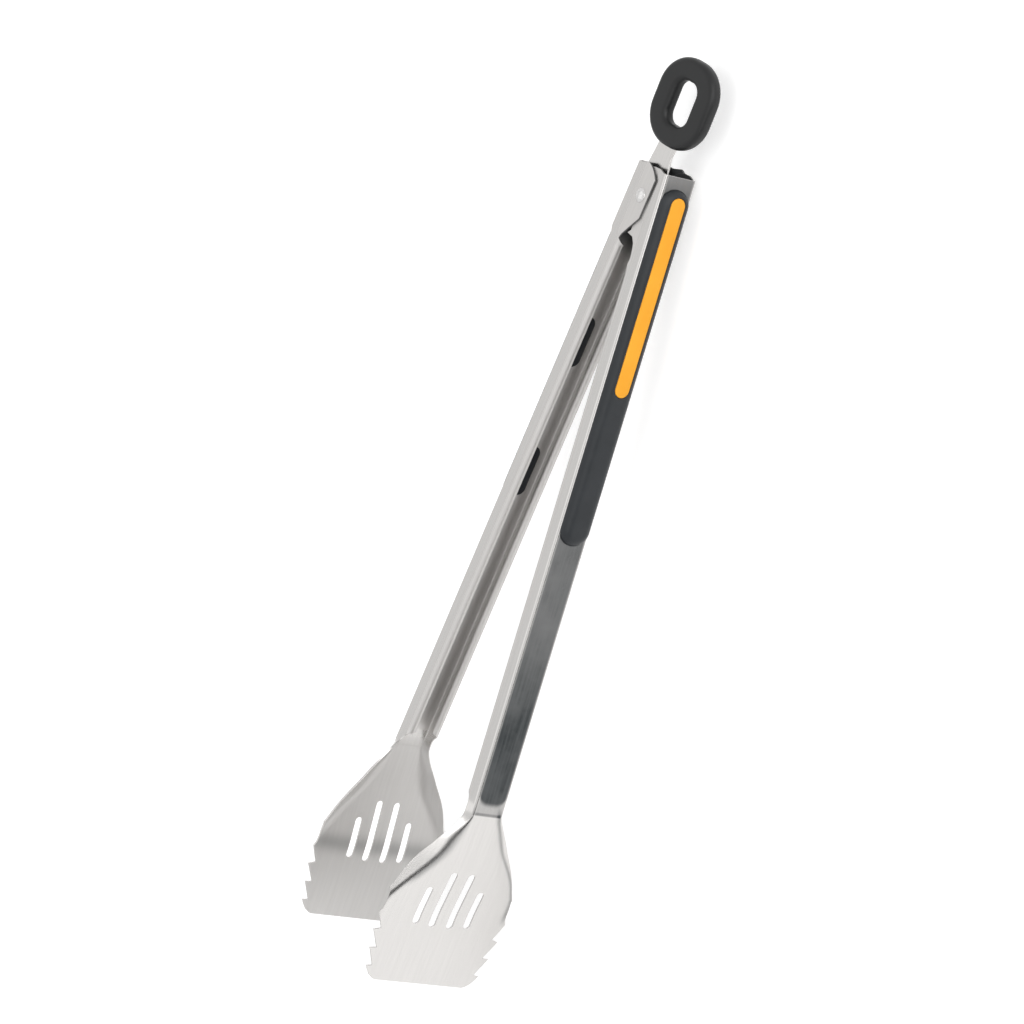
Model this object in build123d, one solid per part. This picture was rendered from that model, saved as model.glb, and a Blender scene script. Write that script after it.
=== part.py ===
from build123d import *
import os
from math import asin, atan2, cos, degrees, hypot, radians, sin, sqrt

# Spring loaded kitchen tongs, lying on their side. +X points to the pull ring, +Y to the rear
# (outer) arm, +Z up along the pivot. Each arm is built in its own arm frame first: X towards the
# ring, Y outwards from the pivot to the web, Z across the arm, with the pivot at the origin.

# Both arms
SHEET = 0.9                 # stainless sheet
CHANNEL_WIDTH = 17.4        # outside, across the flanges
FLANGE_DEPTH = 9.9          # outside of the web to the flange's free edge
BEND_RADIUS = 1.6           # outside of the channel's two bends
LIP_RADIUS = 2.0            # the free edges roll inwards to this radius
LIP_RETURN = 0.6            # straight end of the rolled edge
REAR_WEB = 12.4             # pivot to the outside of the rear arm's web
FRONT_WEB = 13.7            # pivot to the outside of the front arm's web
REAR_OPENING = 5.4          # each arm's angle from the centre line at rest, in degrees
FRONT_OPENING = 5.2
EAR_FIT = 0.1               # gap between the rear arm's ears and the front arm's
REAR_WEB_END = 12.9         # the web's end, past the pivot
FRONT_WEB_END = 13.3
REAR_REACH = 5.9            # the ears' edges, on the far side of the pivot
FRONT_REACH = 5.4
JOGGLE_START = 20.0         # the ears' offset runs out between these, along the arm
JOGGLE_END = 24.5

# Head, measured along the arm from its neck
NECK = 298.5                # pivot to the neck
HEAD_LENGTH = 91.0
LIP_END = 9.5               # the rolled lips end this far above the neck
# the plate leans inwards: distance past the neck where each slope ends, and the slope
HEAD_SLOPES = [(24.0, 0.10), (54.0, 0.255), (100.0, 0.12)]
FOLD_RADIUS = 14.0          # between the plate and its raised side walls
FOLD_GROWTH = 16.0          # the channel's bends widen to that radius over this distance
# distance past the neck, half width of the plate, wall angle in degrees, rise of the rim
HEAD_STATIONS = [
    (-9.5, 7.1, 90.0, 8.4),
    (-4.0, 7.1, 85.0, 6.0),
    (1.5, 7.2, 58.0, 3.8),
    (8.0, 7.6, 38.0, 3.0),
    (16.0, 9.3, 31.0, 4.0),
    (25.0, 13.8, 29.0, 5.0),
    (35.0, 21.6, 28.0, 3.5),
    (41.0, 25.6, 27.0, 2.5),
    (47.0, 29.8, 27.0, 1.9),
    (53.0, 32.6, 27.0, 1.7),
    (60.0, 33.2, 27.0, 1.6),
    (67.0, 33.0, 27.0, 1.6),
    (75.0, 32.0, 27.0, 1.6),
    (83.0, 31.2, 27.0, 1.6),
    (91.0, 30.5, 27.0, 1.6),
]
TOOTH_PITCH = 9.4
FIRST_TOOTH = 55.9          # past the neck
# each tooth: the head's half width at its tip, its depth, and how far its step leans back
TEETH = [(36.1, 1.2, 2.0), (35.6, 3.8, 1.0), (34.0, 3.7, 0.3), (32.1, 3.1, 0.3)]
CORNER_WIDTH = 24.9         # half length of the straight front edge
DRAIN_SLOT_WIDTH = 3.6
DRAIN_SLOTS = [(5.0, 46.0, 30.0), (14.5, 50.0, 20.0)]   # offset, distance past the neck, length

# Grips
GRIP_START = 7.7            # end of the grip beyond the pivot
GRIP_LENGTH = 172.2
# the crown's width at each height above the web
GRIP_LEVELS = [(0.0, 15.8), (0.9, 15.4), (2.7, 12.8), (3.85, 9.2)]
INLAY_START = 4.5
INLAY_LENGTH = 95.8
INLAY_WIDTH = 7.8
INLAY_DEPTH = 1.2
INLAY_PROUD = 0.15
TAB_LENGTH = 26.0           # moulded tabs hold the grip in two slots in the web
TAB_WIDTH = 8.0
TAB_PROUD = 0.4
TAB_PLACES = [79.8, 148.4]  # pivot to each slot's centre

# Pivot
RIVET_RADIUS = 2.5
RIVET_HEAD_RADIUS = 3.5
RIVET_HEAD_HEIGHT = 1.5
RUNNING_FIT = 0.05
WIRE = 1.6                  # torsion spring
COIL_RADIUS = 4.4
COIL_TURNS = 3
COIL_PITCH = 1.7
COIL_DROP = 1.7             # the coil sits below the middle, under the lock strip
LEG_LENGTH = 24.0
LEG_GAP = 0.1               # between a leg's end and the web it pushes on

# Lock and pull ring
STRIP_THICKNESS = 1.2
STRIP_LEVEL = 5.3           # above the tongs' mid-plane
LOCK_SWING = 3.0            # the loose strip and ring lean towards the front arm, in degrees
LOCK_TILT = 12.0            # and tilt in the gap between the ears, rear edge up
LOCK_TRAVEL = 9.0
SLOT_CLEARANCE = 0.3
# the strip's two edges, from the ring inwards: distance past the pivot, distance off its middle line
STRIP_REAR_EDGE = [
    (32.5, 5.0), (25.0, 5.9), (20.9, 6.4), (14.4, 7.4), (7.5, 8.2), (0.5, 8.2), (-4.5, 6.0), (-14.5, 6.0),
    (-16.0, 4.5),
]
STRIP_FRONT_EDGE = [
    (32.5, 5.8), (25.3, 5.4), (21.4, 4.9), (17.3, 5.6), (14.1, 6.2), (7.5, 8.2), (0.5, 8.2), (-4.5, 6.0),
    (-14.5, 6.0), (-16.0, 4.5),
]
RING_CENTRE = 46.3
RING_LENGTH = 42.2
RING_WIDTH = 36.2
RING_CORNER = 16.4
RING_HOLE_LENGTH = 21.0
RING_HOLE_WIDTH = 13.0
RING_HOLE_CORNER = 5.2
RING_THICKNESS = 7.2
RING_ROUNDING = 3.1

# Row frame: the origin is at the centre of the bounding box's bottom
PIVOT_X = 160.32
PIVOT_Y = 0.13
MID_HEIGHT = 36.1

EAR_HALF_FRONT = CHANNEL_WIDTH / 2
EAR_HALF_REAR = EAR_HALF_FRONT + SHEET + EAR_FIT


def across(x):
    """The plane across an arm at x, with its own x axis along Y and its y axis along Z."""
    return Plane(origin=(x, 0, 0), x_dir=(0, 1, 0), z_dir=(1, 0, 0))


def prism(points, height, plane=Plane.XY):
    """A closed outline, given as points, extruded both ways from its plane."""
    return extrude(plane * make_face(Polyline(points, close=True)), height, both=True)


def channel(web, half_width, depth):
    """A plain U section: the web at y = web, and two flanges without lips."""
    outer = Pos(web - depth / 2, 0) * Rectangle(depth, 2 * half_width)
    outer = fillet(outer.vertices().group_by(Axis.X)[-1], BEND_RADIUS)
    inner = Pos(web - SHEET - depth / 2, 0) * Rectangle(depth, 2 * (half_width - SHEET))
    inner = fillet(inner.vertices().group_by(Axis.X)[-1], BEND_RADIUS - SHEET)
    return outer - inner


def lipped_channel(web):
    """The arm's section: a U whose free edges roll inwards through half a turn."""
    edge = web - FLANGE_DEPTH + LIP_RADIUS
    section = channel(web, CHANNEL_WIDTH / 2, FLANGE_DEPTH - LIP_RADIUS)
    for side in (-1, 1):
        ring = Circle(LIP_RADIUS) - Circle(LIP_RADIUS - SHEET)
        half = ring & Pos(-LIP_RADIUS, 0) * Rectangle(2 * LIP_RADIUS, 2 * LIP_RADIUS)
        section += Pos(edge, side * (CHANNEL_WIDTH / 2 - LIP_RADIUS)) * half
        inner_wall = CHANNEL_WIDTH / 2 - 2 * LIP_RADIUS + SHEET / 2
        section += Pos(edge + LIP_RETURN / 2, side * inner_wall) * Rectangle(LIP_RETURN, SHEET)
    return section


def rear_ear_outline():
    """Side view of the rear arm from its web's end down to where the lips start."""
    top = Polyline((-JOGGLE_END, 20), (REAR_WEB_END, 20), (REAR_WEB_END, 10.2), (15.3, 3.7))
    crown = ThreePointArc((15.3, 3.7), (13.3, -1.9), (10.1, -REAR_REACH))
    foot = Polyline(
        (10.1, -REAR_REACH), (-9.2, -REAR_REACH), (-23.3, 3.8), (-23.9, 2.6), (-JOGGLE_END, 2.6),
        (-JOGGLE_END, 20),
    )
    return make_face([top, crown, foot]), JOGGLE_END


def front_ear_outline():
    """Side view of the front arm's ears: a hooked tooth, then a long shallow notch."""
    notch_end = 36.3
    top = Polyline((-notch_end, 20), (FRONT_WEB_END, 20), (FRONT_WEB_END, 12.6), (14.6, 8.0), (14.6, 5.2))
    crown = ThreePointArc((14.6, 5.2), (13.4, -1.2), (9.8, -FRONT_REACH))
    foot = Polyline(
        (9.8, -FRONT_REACH), (-9.0, -FRONT_REACH), (-15.0, -0.6), (-16.6, -0.7), (-18.3, -3.0),
        (-19.3, 1.8), (-21.9, 3.9),
    )
    notch = ThreePointArc((-21.9, 3.9), (-28.5, 5.2), (-notch_end, 3.6))
    close = Polyline((-notch_end, 3.6), (-notch_end, 20))
    return make_face([top, crown, foot, notch, close]), notch_end


def ears(web, half_width, outline, lip_start):
    """The arm's end at the pivot, where flat ears stand out round the rivet."""
    depth = web + REAR_REACH + 1.0
    shell = extrude(across(-JOGGLE_START) * channel(web, half_width, depth), 50)
    joggle = loft([
        across(-JOGGLE_START) * channel(web, half_width, depth),
        across(-JOGGLE_END) * channel(web, CHANNEL_WIDTH / 2, depth),
    ])
    shell += joggle
    if lip_start > JOGGLE_END:
        plain = across(-lip_start) * channel(web, CHANNEL_WIDTH / 2, depth)
        shell += extrude(plain, lip_start - JOGGLE_END)
    return shell & extrude(outline, CHANNEL_WIDTH, both=True)


def plate_drop(distance):
    """How far the head's plate has moved inwards at a distance past the neck."""
    drop, start = 0.0, 0.0
    for end, slope in HEAD_SLOPES:
        drop += slope * min(max(distance - start, 0.0), end - start)
        start = end
    return drop


def head_section(web, distance, plate_half, angle, rise):
    """One cross-section of the scoop: flat plate, rounded folds and flaring side walls."""
    radius = BEND_RADIUS + (FOLD_RADIUS - BEND_RADIUS) * min(max(distance / FOLD_GROWTH, 0.0), 1.0)
    lean = radians(angle)
    fold_rise = radius * (1 - cos(lean))
    wall = (rise - fold_rise) / sin(lean)
    base = web - plate_drop(distance)

    def along(offset, turn, length):
        """A point of the face that is offset inwards from the outside by so much."""
        across_arm = plate_half + (radius - offset) * sin(turn) + length * cos(turn)
        inwards = radius - (radius - offset) * cos(turn) + length * sin(turn)
        return across_arm, base - inwards

    edges = []
    outside = [along(0, 0, 0), along(0, lean / 2, 0), along(0, lean, 0), along(0, lean, wall)]
    inside = [along(SHEET, 0, 0), along(SHEET, lean / 2, 0), along(SHEET, lean, 0), along(SHEET, lean, wall)]

    def place(point, side):
        return (point[1], side * point[0])

    for side in (-1, 1):
        for face in (outside, inside):
            start, middle, end, rim = [place(point, side) for point in face]
            edges += [ThreePointArc(start, middle, end), Line(end, rim)]
        edges.append(Line(place(outside[3], side), place(inside[3], side)))
    for face in (outside, inside):
        edges.append(Line(place(face[0], -1), place(face[0], 1)))
    return across(-NECK - distance) * make_face(edges)


def head_outline():
    """Plan of the head: four saw teeth on each side and a straight front edge."""
    side = [(-NECK + LIP_END, 40), (-NECK - 42.0, 40), (-NECK - 44.0, 34.4), (-NECK - 51.0, 34.5)]
    for number, (tip, depth, lean) in enumerate(TEETH):
        x = -NECK - FIRST_TOOTH - number * TOOTH_PITCH
        side += [(x + lean, tip - depth), (x, tip)]
    end = -NECK - HEAD_LENGTH
    side += [(end + 5.0, 31.0), (end + 2.2, 28.9), (end + 0.5, 26.4), (end, CORNER_WIDTH)]
    other = [(x, -y) for x, y in reversed(side)]
    return side + other


def head(web):
    """The scoop from the end of the lips to its front edge, with its drain slots."""
    body = loft([head_section(web, *station) for station in HEAD_STATIONS])
    plan = Plane(origin=(0, 0, 0), x_dir=(1, 0, 0), z_dir=(0, -1, 0))
    body = body & prism(head_outline(), 60, plan)
    for offset, distance, length in DRAIN_SLOTS:
        for side in (-1, 1):
            slot = Pos(-NECK - distance, side * offset) * SlotOverall(length, DRAIN_SLOT_WIDTH)
            body -= extrude(plan * slot, 60, both=True)
    return body


def arm(web, ear_half, ear_side, hole_radius):
    """One whole arm in its arm frame: ears, channel, head, rivet hole and grip slots."""
    outline, lip_start = ear_side
    lower = NECK - LIP_END
    body = ears(web, ear_half, outline, lip_start)
    body += extrude(across(-lower) * lipped_channel(web), lower - lip_start)
    body += head(web)
    body -= Cylinder(hole_radius, 40)
    for place in TAB_PLACES:
        body -= on_web(web - SHEET / 2, place, SlotOverall(TAB_LENGTH, TAB_WIDTH), SHEET)
    return body


def on_web(level, place, sketch, thickness):
    """A sketch extruded both ways from a level above the web, centred at a place along it."""
    plane = Plane(origin=(-place, level, 0), x_dir=(1, 0, 0), z_dir=(0, 1, 0))
    return extrude(plane * sketch, thickness, both=True)


def grip(web):
    """Grip and inlay on an arm's web, with the two tabs that hold the grip."""
    centre = GRIP_LENGTH / 2 - GRIP_START
    foot = Plane(origin=(-centre, web, 0), x_dir=(1, 0, 0), z_dir=(0, 1, 0))
    rims = []
    for height, width in GRIP_LEVELS:
        length = GRIP_LENGTH - GRIP_LEVELS[0][1] + width
        rims.append(foot.offset(height) * SlotOverall(length, width))
    body = loft(rims, ruled=True)
    for place in TAB_PLACES:
        tab = foot.offset(-SHEET - TAB_PROUD) * Pos(centre - place, 0) * SlotOverall(TAB_LENGTH, TAB_WIDTH)
        body += extrude(tab, SHEET + TAB_PROUD)
    seat = Pos(centre + INLAY_START - INLAY_LENGTH / 2, 0) * SlotOverall(INLAY_LENGTH, INLAY_WIDTH)
    grip_top = GRIP_LEVELS[-1][0]
    pocket = extrude(foot.offset(grip_top - INLAY_DEPTH) * seat, INLAY_DEPTH + 1)
    inlay = extrude(foot.offset(grip_top - INLAY_DEPTH) * seat, INLAY_DEPTH + INLAY_PROUD)
    return body - pocket, inlay


def rivet():
    """Shank through all four ears, with a low dome at each end, fixed in the rear arm."""
    half = EAR_HALF_REAR
    rise = RIVET_HEAD_HEIGHT
    shank = Cylinder(RIVET_RADIUS, 2 * half)
    dome_radius = (RIVET_HEAD_RADIUS ** 2 + rise ** 2) / (2 * rise)
    ball = Pos(0, 0, half + rise - dome_radius) * Sphere(dome_radius)
    cap = ball & Pos(0, 0, half + rise) * Cylinder(RIVET_HEAD_RADIUS, 2 * rise)
    return shank + cap + mirror(cap, Plane.XY)


def leg_run(web, opening):
    """Slope of a spring leg that presses on an arm's web, and its length from the coil."""
    swing = radians(opening)
    reach = web - SHEET - WIRE / 2 - LEG_GAP
    end_x = LEG_LENGTH * cos(swing) - reach * sin(swing)
    end_y = LEG_LENGTH * sin(swing) + reach * cos(swing)
    distance = hypot(end_x, end_y)
    return atan2(end_y, end_x) - asin(COIL_RADIUS / distance), sqrt(distance ** 2 - COIL_RADIUS ** 2)


def spring():
    """Coil round the rivet, with a straight leg running out of it to each arm's web."""
    rear_slope, rear_length = leg_run(REAR_WEB, REAR_OPENING)
    front_slope, front_length = leg_run(FRONT_WEB, FRONT_OPENING)
    start = 90 - degrees(rear_slope)
    end = 90 - degrees(front_slope)
    rise = (COIL_TURNS + (start + end) / 360) * COIL_PITCH
    coil = Helix(COIL_PITCH, rise, COIL_RADIUS, lefthand=True)
    rear_leg = Line(coil @ 0 - (coil % 0) * rear_length, coil @ 0)
    front_leg = Line(coil @ 1, coil @ 1 + (coil % 1) * front_length)
    path = Wire([rear_leg, coil, front_leg])
    body = sweep(Plane(origin=path @ 0, z_dir=path % 0) * Circle(WIRE / 2), path=path)
    return Pos(0, 0, -rise / 2 - COIL_DROP) * Rot(0, 0, start) * body


def strip():
    """Flat lock strip: slotted over the rivet, with shoulders between the two webs."""
    outline = STRIP_REAR_EDGE + [(x, -y) for x, y in reversed(STRIP_FRONT_EDGE)]
    plate = prism(outline, STRIP_THICKNESS / 2)
    slot = SlotCenterToCenter(LOCK_TRAVEL, 2 * (RIVET_RADIUS + SLOT_CLEARANCE))
    return plate - Pos(-LOCK_TRAVEL / 2, 0) * extrude(slot, STRIP_THICKNESS, both=True)


def ring(strip_solid):
    """Rubber pull ring, moulded over the strip's end."""
    outer = RectangleRounded(RING_LENGTH, RING_WIDTH, RING_CORNER)
    body = Pos(RING_CENTRE, 0) * extrude(outer, RING_THICKNESS / 2, both=True)
    hole = RectangleRounded(RING_HOLE_LENGTH, RING_HOLE_WIDTH, RING_HOLE_CORNER)
    body -= Pos(RING_CENTRE, 0) * extrude(hole, RING_THICKNESS, both=True)
    rims = body.edges().group_by(Axis.Z)
    body = fillet(rims[0] + rims[-1], RING_ROUNDING)
    return body - strip_solid


def in_row(solid, turn=0.0, mirrored=False):
    """Turns a piece about the pivot and moves it to its place in the row frame."""
    solid = Rot(0, 0, turn) * solid
    if mirrored:
        solid = mirror(solid, Plane.XZ)
    return Pos(PIVOT_X, PIVOT_Y, MID_HEIGHT) * solid


def on_rear(solid):
    return in_row(solid, -REAR_OPENING)


def on_front(solid):
    return in_row(solid, -FRONT_OPENING, mirrored=True)


def on_lock(solid):
    return in_row(Pos(0, 0, STRIP_LEVEL) * Rot(LOCK_TILT, 0, 0) * solid, -LOCK_SWING)


rear_arm = arm(REAR_WEB, EAR_HALF_REAR, rear_ear_outline(), RIVET_RADIUS)
front_arm = arm(FRONT_WEB, EAR_HALF_FRONT, front_ear_outline(), RIVET_RADIUS + RUNNING_FIT)
rear_grip, rear_inlay = grip(REAR_WEB)
front_grip, front_inlay = grip(FRONT_WEB)
lock_strip = strip()
nodes = {
    "rear_arm": on_rear(rear_arm),
    "front_arm": on_front(front_arm),
    "rear_grip": on_rear(rear_grip),
    "rear_grip_inlay": on_rear(rear_inlay),
    "front_grip": on_front(front_grip),
    "front_grip_inlay": on_front(front_inlay),
    "pivot_rivet": in_row(rivet()),
    "torsion_spring": in_row(spring()),
    "lock_strip": on_lock(lock_strip),
    "pull_ring": on_lock(ring(lock_strip)),
}

os.makedirs("parts", exist_ok=True)
for name, solid in nodes.items():
    export_step(solid, f"parts/{name}.step")

whole = Compound(children=list(nodes.values())).bounding_box()
print("box", [round(v, 2) for v in (*whole.min, *whole.max)])
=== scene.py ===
import math

import bmesh
import bpy
import numpy as np
from mathutils import Matrix, Vector
from mathutils.geometry import delaunay_2d_cdt


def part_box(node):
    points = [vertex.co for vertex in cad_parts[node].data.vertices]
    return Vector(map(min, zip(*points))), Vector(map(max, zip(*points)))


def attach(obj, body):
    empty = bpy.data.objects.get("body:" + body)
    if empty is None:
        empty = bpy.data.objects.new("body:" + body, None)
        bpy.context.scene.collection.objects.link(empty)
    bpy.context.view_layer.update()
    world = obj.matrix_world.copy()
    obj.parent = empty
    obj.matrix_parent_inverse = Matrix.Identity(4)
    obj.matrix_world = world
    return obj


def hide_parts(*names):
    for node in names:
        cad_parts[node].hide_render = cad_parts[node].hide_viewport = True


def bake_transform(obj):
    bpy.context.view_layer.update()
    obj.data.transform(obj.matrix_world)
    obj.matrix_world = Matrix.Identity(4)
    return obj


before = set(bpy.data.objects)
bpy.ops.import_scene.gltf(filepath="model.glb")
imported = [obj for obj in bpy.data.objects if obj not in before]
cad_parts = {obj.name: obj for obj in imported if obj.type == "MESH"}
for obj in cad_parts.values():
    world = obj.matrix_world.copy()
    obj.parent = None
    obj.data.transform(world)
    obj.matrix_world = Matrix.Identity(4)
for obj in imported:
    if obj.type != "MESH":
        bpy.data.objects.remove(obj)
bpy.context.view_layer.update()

# Everything is worked out in millimetres about the pivot and written to the meshes in metres.
# An arm's frame has X towards the ring, Y outwards from the pivot to the web and Z along the pivot.
# A station is a distance from the pivot towards the head, so x = -station, and u is one past the neck.
# An arm is drawn unrolled, as (station, across), and bent to its shape afterwards.
MM = 0.001
low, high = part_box("pivot_rivet")
PIVOT = np.array((low + high) / 2) / MM

# the sheet and the channel
SHEET = 0.9
HALF_SHEET = SHEET / 2
HALF_CHANNEL = 8.7
BEND = 1.6 - HALF_SHEET         # middle of the sheet in the channel's bends
LIP = 2.0 - HALF_SHEET          # middle of the sheet in the rolled lips
WALL = 6.3                      # flat part of a flange, from bend to lip
LIP_LENGTH = math.pi * LIP + 0.6
EDGE_ROUND = 0.16               # rounding of the cut edges

# the head
NECK = 298.5                    # station where the channel opens into the head
HEAD_START = -12.0              # where the head's own sections take over, before the neck
HEAD_LENGTH = 91.0
HEAD_FOLD = 14.0 - HALF_SHEET   # middle of the sheet in the folds, once they are full
FOLD_GROWTH = 16.0              # distance over which the bends grow into the folds
# distance past the neck, half width of the plate, wall angle in degrees, rise of the rim
HEAD_STATIONS = np.array([
    (-12.0, 7.1, 90.0, 7.9), (-9.5, 7.1, 89.5, 7.9), (-4.0, 7.1, 81.0, 5.7), (1.5, 7.2, 50.0, 3.5),
    (8.0, 7.6, 36.5, 3.0), (16.0, 9.3, 31.0, 4.0), (25.0, 13.8, 29.0, 5.0), (35.0, 21.6, 28.0, 3.5),
    (41.0, 25.6, 27.0, 2.5), (47.0, 29.8, 27.0, 1.9), (53.0, 32.6, 27.0, 1.7), (60.0, 33.2, 27.0, 1.6),
    (79.0, 31.6, 27.0, 1.6), (91.5, 30.5, 27.0, 1.6),
])
# start, length and change of each turn in the plate's slope: neck, bowl and flatter front
PLATE_TURNS = ((-3.4, 4.8, 0.10), (14.0, 20.0, 0.155), (48.0, 12.0, -0.135))
CRIMP = 0.10                    # depth of the dent across the neck
SIDE_START = ((44.3, 34.3), (51.0, 34.45))      # the side's widest stretch, before the teeth
FIRST_TOOTH = 55.9
TOOTH_PITCH = 9.4
# each tooth: the head's half width at its tip, its depth, and how far its step leans back
TEETH = ((36.1, 1.2, 2.0), (35.6, 3.8, 1.0), (34.0, 3.7, 0.3), (32.1, 3.1, 0.3))
TIP_BLUNT = (0.05, 0.1)         # how far a tip lies past its step and short of its width
HEAD_CORNER = ((86.0, 31.0), (88.8, 28.9), (90.5, 26.4), (91.0, 24.9))
DRAIN_SLOTS = ((5.0, 46.0, 30.0), (14.5, 50.0, 20.0))   # offset from the middle, distance, length
DRAIN_WIDTH = 3.6

# the web's two slots, which the grip's tabs fill
TABS = (79.8, 148.4)
TAB_SIZE = (26.0, 8.0)

# the unrolled sheet's own coordinate across the arm: flat part and bend, then flange and lip in mm
FLAT_SPAN = 8.0
BEND_SPAN = 2.5
FLANGE_START = FLAT_SPAN + BEND_SPAN
LIP_START = FLANGE_START + WALL

# web: its outer face from the pivot; turn: degrees from the row's X axis; ear_half: half the width over
# the ears; hole: the rivet hole's radius; web_end: where the web stops beyond the pivot; roll: the
# stations where the lips start to roll and are fully rolled
ARMS = {
    "rear": dict(
        web=12.4, turn=-5.4, mirror=False, ear_half=9.7, hole=2.5, web_end=12.9, roll=(22.5, 27.5),
    ),
    "front": dict(
        web=13.7, turn=-5.2, mirror=True, ear_half=8.7, hole=2.55, web_end=13.3, roll=(28.0, 38.0),
    ),
}


# ---------------------------------------------------------------- small helpers

def step(x):
    """Rises smoothly from 0 to 1 as x does."""
    x = np.clip(x, 0.0, 1.0)
    return x * x * (3 - 2 * x)


def monotone(xs, ys):
    """A smooth curve through the points that never overshoots them."""
    h = np.diff(xs)
    d = np.diff(ys) / h
    m = np.concatenate([[d[0]], (d[:-1] + d[1:]) / 2, [d[-1]]])
    for i in range(len(d)):
        if d[i] == 0:
            m[i] = m[i + 1] = 0
        else:
            a, b = m[i] / d[i], m[i + 1] / d[i]
            size = math.hypot(a, b)
            if a < 0:
                m[i] = 0
            if b < 0:
                m[i + 1] = 0
            if size > 3:
                m[i] = 3 / size * a * d[i]
                m[i + 1] = 3 / size * b * d[i]

    def curve(x):
        x = np.clip(x, xs[0], xs[-1])
        i = np.clip(np.searchsorted(xs, x) - 1, 0, len(h) - 1)
        t = (x - xs[i]) / h[i]
        return ((1 + 2 * t) * (1 - t) ** 2 * ys[i] + t * (1 - t) ** 2 * h[i] * m[i]
                + t * t * (3 - 2 * t) * ys[i + 1] + t * t * (t - 1) * h[i] * m[i + 1])
    return curve


def softened(xs, ys, spread=3.5):
    """The same curve, averaged over the spread in millimetres from the neck on, to take its kinks away."""
    curve = monotone(xs, ys)
    pitch, reach = 0.1, 120
    grid = np.arange(-30, 120, pitch)
    kernel = np.exp(-0.5 * (np.arange(-reach, reach + 1) * pitch / spread) ** 2)
    values = np.convolve(np.pad(curve(grid), reach, mode="edge"), kernel / kernel.sum(), mode="valid")

    def soft(x):
        share = step((x + 6) / 10)
        return (1 - share) * curve(x) + share * np.interp(x, grid, values)
    return soft


plate_half = softened(HEAD_STATIONS[:, 0], HEAD_STATIONS[:, 1])
wall_angle = softened(HEAD_STATIONS[:, 0], np.radians(HEAD_STATIONS[:, 2]))
rim_rise = softened(HEAD_STATIONS[:, 0], HEAD_STATIONS[:, 3])

fine = np.linspace(-6, HEAD_LENGTH + 4, 1500)
slope = sum(change * step((fine - start) / length) for start, length, change in PLATE_TURNS)
drop = np.concatenate([[0], np.cumsum((slope[1:] + slope[:-1]) / 2 * np.diff(fine))])


def plate_drop(distance):
    """How far the plate lies below the web's level, with the dent across the neck."""
    crimp = step((distance - 0.6) / 0.8) * (1 - step((distance - 1.8) / 3.2))
    return np.interp(distance, fine, drop) - CRIMP * crimp


def fold_radius(distance):
    """Radius of the middle of the sheet in the fold between plate and wall."""
    return BEND + (HEAD_FOLD - BEND) * step(distance / FOLD_GROWTH)


def wall_length(distance):
    """Length of the side wall, from the end of its fold to the rim."""
    angle = wall_angle(distance)
    outer = fold_radius(distance) + HALF_SHEET
    return np.maximum((rim_rise(distance) - outer * (1 - np.cos(angle))) / np.sin(angle), 0.05)


# ---------------------------------------------------------------- sheet metal

def half_width(arm, station):
    """Half the width over the flanges; the rear arm's ears are wider than its channel."""
    joggle = step((station - 20.0) / 4.5)
    return arm["ear_half"] * (1 - joggle) + HALF_CHANNEL * joggle


def arm_point(arm, flat):
    """Where a point of the unrolled sheet (station, across) lies, as the middle of the sheet."""
    station, across = flat[:, 0], flat[:, 1]
    side = np.where(across < 0, -1.0, 1.0)
    m = np.abs(across)
    u = station - NECK
    in_head = u > HEAD_START
    flat_half = np.where(in_head, plate_half(u), half_width(arm, station) - BEND - HALF_SHEET)
    angle = np.where(in_head, wall_angle(u), math.pi / 2)
    radius = np.where(in_head, fold_radius(u), BEND)
    level = arm["web"] - HALF_SHEET - plate_drop(u)
    y = level
    z = m / FLAT_SPAN * flat_half
    bend = m > FLAT_SPAN
    turn = np.clip((m - FLAT_SPAN) / BEND_SPAN, 0, 1) * angle
    z = np.where(bend, flat_half + radius * np.sin(turn), z)
    y = np.where(bend, level - radius * (1 - np.cos(turn)), y)
    run = np.maximum(m - FLANGE_START, 0)
    start, full = arm["roll"]
    curl = step((station - start) / (full - start)) / LIP
    beyond = np.where(in_head & (u > -6), 0.0, np.maximum(run - WALL, 0))
    plain = run - beyond
    z = z + plain * np.cos(angle)
    y = y - plain * np.sin(angle)
    k = np.maximum(curl, 1e-4)
    rolled = np.minimum(beyond, math.pi / k)
    left = beyond - rolled
    z = z - (1 - np.cos(k * rolled)) / k
    y = y - np.sin(k * rolled) / k + left
    return np.stack([-station, y, side * z], 1)


def surface_normals(point, flat):
    """Unit normals of a mapped surface, from the points a little way along and across."""
    nudge = 0.01
    ds = np.array([nudge, 0])
    dc = np.array([0, nudge])
    along = point(flat + ds) - point(flat - ds)
    cross = point(flat + dc) - point(flat - dc)
    n = np.cross(along, cross)
    return n / np.maximum(np.linalg.norm(n, axis=1, keepdims=True), 1e-12)


def flange_at(arm, y):
    """The unrolled coordinate at a height above the pivot, on the flat flange."""
    return FLANGE_START + arm["web"] - HALF_SHEET - BEND - y


def across_at(arm, station, z):
    """The unrolled coordinate at a distance from the middle line, in the head."""
    lo, hi = 0.0, FLANGE_START + 8.0
    for _ in range(40):
        mid = (lo + hi) / 2
        if arm_point(arm, np.array([[station, mid]]))[0, 2] < z:
            lo = mid
        else:
            hi = mid
    return (lo + hi) / 2


def part_way(a, b, i, count):
    """The point i steps of count on the way from a to b."""
    return a[0] + (b[0] - a[0]) * i / count, a[1] + (b[1] - a[1]) * i / count


def subdivide(points, spacing):
    """Adds points to a line, so that none is further from the next than the spacing."""
    out = []
    for a, b in zip(points[:-1], points[1:]):
        count = max(1, int(math.ceil(math.dist(a, b) / spacing)))
        out += [part_way(a, b, i, count) for i in range(count)]
    return out + [points[-1]]


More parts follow.
